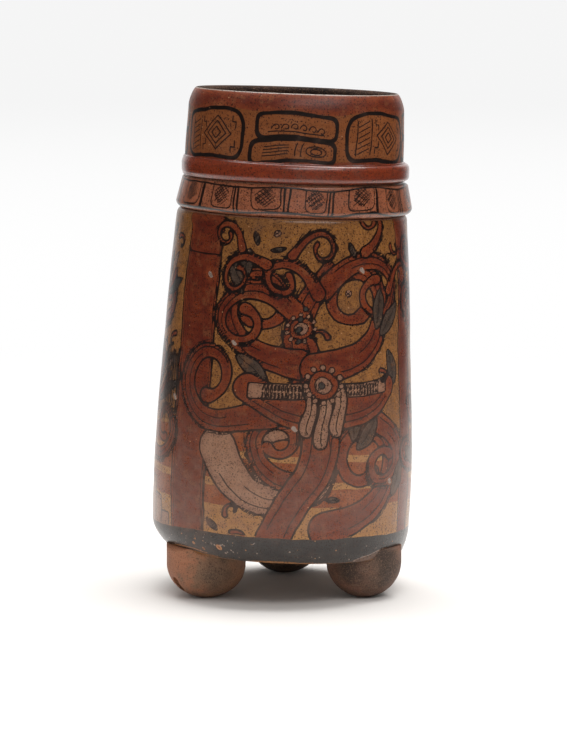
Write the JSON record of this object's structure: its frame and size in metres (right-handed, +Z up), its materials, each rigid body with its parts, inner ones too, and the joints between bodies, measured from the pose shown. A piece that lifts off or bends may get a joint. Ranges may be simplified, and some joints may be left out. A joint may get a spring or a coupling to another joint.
{
  "type": "tripod drinking cup",
  "caption": "Tall slip-painted clay drinking cup with a stepped neck, two applied mouldings and hollow ball feet that hold loose rattle pellets.",
  "frame": {"origin": "on the ground, under the middle of the bounding box, between the three feet", "axes": "+Z up; -Y towards the side seen in the picture; +X to the right of it, the way the body leans"},
  "size_m": [0.1096, 0.1092, 0.2118],
  "materials": {
    "body_slip": "burnished ochre slip painted with red, orange, grey and black",
    "neck_slip": "burnished orange-red slip with a black lip and black cartouche frames",
    "panel_slip": "burnished orange slip with dark cross-hatched panels",
    "red_slip": "burnished plain red slip",
    "base_slip": "burnished black slip with small chips",
    "bare_clay": "smoothed bare clay, smoke stained",
    "pellet_clay": "plain fired clay"
  },
  "bodies": {
    "cup": {"base_disc": "base_slip", "body_wall": "body_slip", "neck_wall": "neck_slip", "collar_moulding": "red_slip", "panel_moulding": "panel_slip", "foot_left": "bare_clay", "foot_right": "bare_clay", "foot_rear": "bare_clay"},
    "pellet_left_1": {"pellet_left_1": "pellet_clay"},
    "pellet_left_2": {"pellet_left_2": "pellet_clay"},
    "pellet_right_1": {"pellet_right_1": "pellet_clay"},
    "pellet_right_2": {"pellet_right_2": "pellet_clay"},
    "pellet_rear_1": {"pellet_rear_1": "pellet_clay"},
    "pellet_rear_2": {"pellet_rear_2": "pellet_clay"}
  },
  "joints": [
    {"name": "pellet_left_1_roll", "type": "hinge", "parent": "cup", "child": "pellet_left_1", "pos_m": [-0.03181, -0.02325, 0.01358], "axis": [0, 1, 0], "range_deg": [-60, 60]},
    {"name": "pellet_left_2_roll", "type": "hinge", "parent": "cup", "child": "pellet_left_2", "pos_m": [-0.03181, -0.01485, 0.01358], "axis": [0, 1, 0], "range_deg": [-60, 60]},
    {"name": "pellet_right_1_roll", "type": "hinge", "parent": "cup", "child": "pellet_right_1", "pos_m": [0.03418, -0.02325, 0.01522], "axis": [0, 1, 0], "range_deg": [-60, 60]},
    {"name": "pellet_right_2_roll", "type": "hinge", "parent": "cup", "child": "pellet_right_2", "pos_m": [0.03418, -0.01485, 0.01522], "axis": [0, 1, 0], "range_deg": [-60, 60]},
    {"name": "pellet_rear_1_roll", "type": "hinge", "parent": "cup", "child": "pellet_rear_1", "pos_m": [0.00119, 0.0339, 0.0144], "axis": [0, 1, 0], "range_deg": [-60, 60]},
    {"name": "pellet_rear_2_roll", "type": "hinge", "parent": "cup", "child": "pellet_rear_2", "pos_m": [0.00119, 0.0423, 0.0144], "axis": [0, 1, 0], "range_deg": [-60, 60]}
  ]
}
